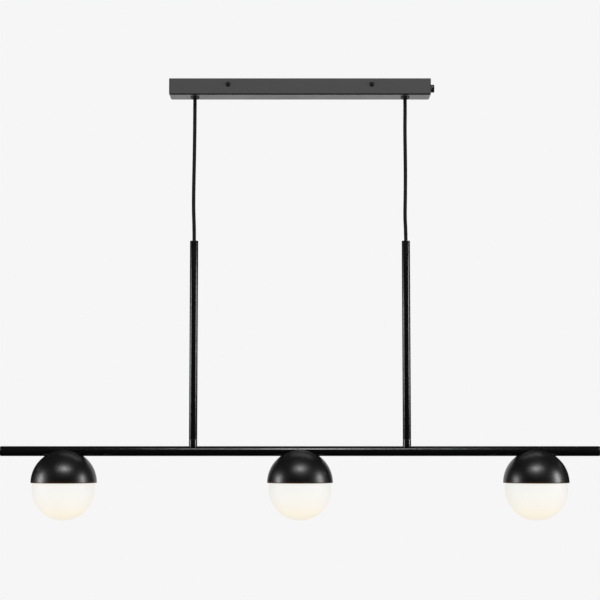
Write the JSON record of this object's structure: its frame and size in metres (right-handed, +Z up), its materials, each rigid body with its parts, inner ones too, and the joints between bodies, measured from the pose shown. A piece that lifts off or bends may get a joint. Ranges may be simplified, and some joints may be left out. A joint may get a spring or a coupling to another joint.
{
  "type": "linear island pendant",
  "caption": "Long black bar lamp that hangs level from a slim ceiling box on textile cords and rods, with half-ball metal shades over opal glass globes.",
  "frame": {"origin": "middle of the ceiling face of the bracket, midway between the ceiling screw holes", "axes": "+Z up into the ceiling, +X along the bar to the right, -Y to the room side that the picture shows"},
  "size_m": [1.15, 0.126, 0.852],
  "materials": {
    "black_metal": "satin black powder coat",
    "black_screw": "black oxide",
    "zinc_steel": "zinc plated",
    "black_plastic": "moulded, fine grain",
    "white_nylon": "moulded",
    "earth_brass": "turned",
    "textile_cord": "braided sleeve",
    "inner_cable": "smooth sheath",
    "turned_aluminium": "turned",
    "lamp_ceramic": "unglazed",
    "silicone": "matte",
    "opal_glass": "satin opal",
    "lamp_glass": "frosted"
  },
  "bodies": {
    "canopy": {"canopy_cover": "black_metal", "ceiling_bracket": "zinc_steel", "cover_screws": "black_screw", "terminal_block": "white_nylon", "terminal_screws": "zinc_steel", "earth_screw": "earth_brass", "gland_nuts": "zinc_steel", "side_inlet_bush": "black_plastic", "left_cord_gland": "black_plastic", "left_cord_clamp": "white_nylon", "left_canopy_lead": "inner_cable", "right_cord_gland": "black_plastic", "right_cord_clamp": "white_nylon", "right_canopy_lead": "inner_cable"},
    "cord_roots": {"left_cord_root": "textile_cord", "right_cord_root": "textile_cord"},
    "left_cord": {"left_cord": "textile_cord"},
    "right_cord": {"right_cord": "textile_cord"},
    "left_cord_end": {"left_cord_stop": "zinc_steel"},
    "right_cord_end": {"right_cord_stop": "zinc_steel"},
    "hanger": {"rod_nipples": "zinc_steel", "shade_nipples": "zinc_steel", "saddle_nuts": "zinc_steel", "saddle_washers": "zinc_steel", "carrier_nuts": "zinc_steel", "bar_tube": "black_metal", "bar_wiring": "inner_cable", "left_rod": "black_metal", "left_rod_plug": "black_plastic", "left_rod_collar": "black_metal", "left_end_cap": "black_metal", "right_rod": "black_metal", "right_rod_plug": "black_plastic", "right_rod_collar": "black_metal", "right_end_cap": "black_metal", "left_shade": "black_metal", "left_shade_plate": "zinc_steel", "left_lamp_carrier": "turned_aluminium", "left_lamp_holder": "lamp_ceramic", "middle_shade": "black_metal", "middle_shade_plate": "zinc_steel", "middle_lamp_carrier": "turned_aluminium", "middle_lamp_holder": "lamp_ceramic", "right_shade": "black_metal", "right_shade_plate": "zinc_steel", "right_lamp_carrier": "turned_aluminium", "right_lamp_holder": "lamp_ceramic"},
    "left_globe_gasket": {"left_globe_gasket": "silicone"},
    "left_globe": {"left_globe": "opal_glass", "left_globe_collar": "turned_aluminium"},
    "left_lamp": {"left_lamp": "lamp_glass"},
    "middle_globe_gasket": {"middle_globe_gasket": "silicone"},
    "middle_globe": {"middle_globe": "opal_glass", "middle_globe_collar": "turned_aluminium"},
    "middle_lamp": {"middle_lamp": "lamp_glass"},
    "right_globe_gasket": {"right_globe_gasket": "silicone"},
    "right_globe": {"right_globe": "opal_glass", "right_globe_collar": "turned_aluminium"},
    "right_lamp": {"right_lamp": "lamp_glass"}
  },
  "joints": [
    {"name": "fore_aft_swing", "type": "hinge", "parent": "canopy", "child": "cord_roots", "pos_m": [0, 0, -0.0315], "axis": [1, 0, 0], "range_deg": [-20, 20]},
    {"name": "side_sway", "type": "hinge", "parent": "cord_roots", "child": "left_cord", "pos_m": [-0.205, 0, -0.0315], "axis": [0, 1, 0], "range_deg": [-10, 10]},
    {"name": "right_cord_sway", "type": "hinge", "parent": "cord_roots", "child": "right_cord", "pos_m": [0.205, 0, -0.0315], "axis": [0, 1, 0], "range_deg": [-10, 10]},
    {"name": "drop_height", "type": "slide", "parent": "left_cord", "child": "left_cord_end", "axis": [0, 0, 1], "range_m": [0, 0.2], "deforming": ["left_cord", "right_cord", "left_cord_root", "right_cord_root"]},
    {"name": "right_drop", "type": "slide", "parent": "right_cord", "child": "right_cord_end", "axis": [0, 0, 1], "range_m": [0, 0.2]},
    {"name": "bar_level", "type": "hinge", "parent": "left_cord_end", "child": "hanger", "pos_m": [-0.205, 0, -0.3195], "axis": [0, 1, 0], "range_deg": [-10, 10]},
    {"name": "left_globe_drop", "type": "slide", "parent": "hanger", "child": "left_globe_gasket", "axis": [0, 0, -1], "range_m": [0, 0.085]},
    {"name": "left_globe_turn", "type": "hinge", "parent": "left_globe_gasket", "child": "left_globe", "pos_m": [-0.452, 0, -0.7805], "axis": [0, 0, 1], "range_deg": [-540, 0]},
    {"name": "left_lamp_pull", "type": "slide", "parent": "hanger", "child": "left_lamp", "axis": [0, 0, -1], "range_m": [0, 0.03]},
    {"name": "middle_globe_drop", "type": "slide", "parent": "hanger", "child": "middle_globe_gasket", "axis": [0, 0, -1], "range_m": [0, 0.085]},
    {"name": "middle_globe_turn", "type": "hinge", "parent": "middle_globe_gasket", "child": "middle_globe", "pos_m": [0, 0, -0.7805], "axis": [0, 0, 1], "range_deg": [-540, 0]},
    {"name": "middle_lamp_pull", "type": "slide", "parent": "hanger", "child": "middle_lamp", "axis": [0, 0, -1], "range_m": [0, 0.03]},
    {"name": "right_globe_drop", "type": "slide", "parent": "hanger", "child": "right_globe_gasket", "axis": [0, 0, -1], "range_m": [0, 0.085]},
    {"name": "right_globe_turn", "type": "hinge", "parent": "right_globe_gasket", "child": "right_globe", "pos_m": [0.452, 0, -0.7805], "axis": [0, 0, 1], "range_deg": [-540, 0]},
    {"name": "right_lamp_pull", "type": "slide", "parent": "hanger", "child": "right_lamp", "axis": [0, 0, -1], "range_m": [0, 0.03]}
  ],
  "couplings": [
    {"joint": "right_cord_sway", "follows": "side_sway", "ratio": 1},
    {"joint": "bar_level", "follows": "side_sway", "ratio": -1},
    {"joint": "right_drop", "follows": "drop_height", "ratio": 1}
  ]
}
